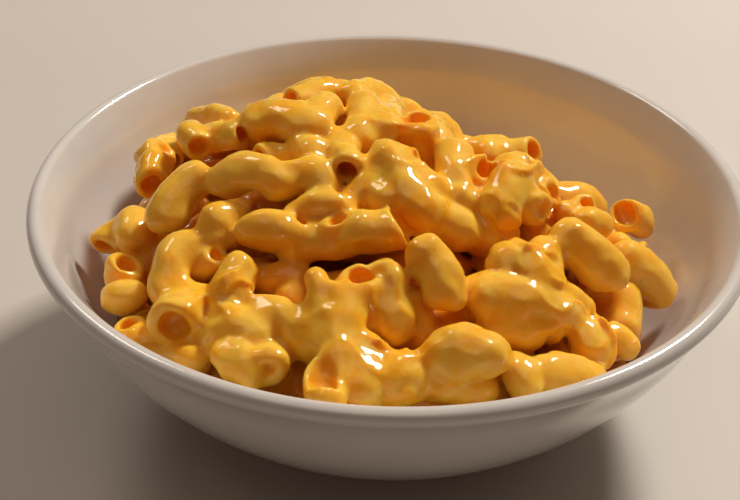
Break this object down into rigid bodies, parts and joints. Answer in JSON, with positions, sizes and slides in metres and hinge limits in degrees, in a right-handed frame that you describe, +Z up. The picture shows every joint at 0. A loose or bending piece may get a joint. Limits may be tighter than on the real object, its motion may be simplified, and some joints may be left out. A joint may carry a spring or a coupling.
{
  "type": "bowl of macaroni and cheese",
  "caption": "Elbow macaroni in cheese sauce, heaped above the rim of a round glazed bowl with a rounded lip and a foot ring.",
  "frame": {"origin": "on the table, under the middle of the bowl's foot", "axes": "+Z up through the middle of the bowl; +X to the right of the diner, who sits at -Y"},
  "size_m": [0.165, 0.165, 0.0748],
  "materials": {
    "glaze": "gloss",
    "cheese_sauce": "satin"
  },
  "bodies": {
    "root": {"bowl": "glaze", "macaroni_heap": "cheese_sauce"}
  },
  "joints": []
}
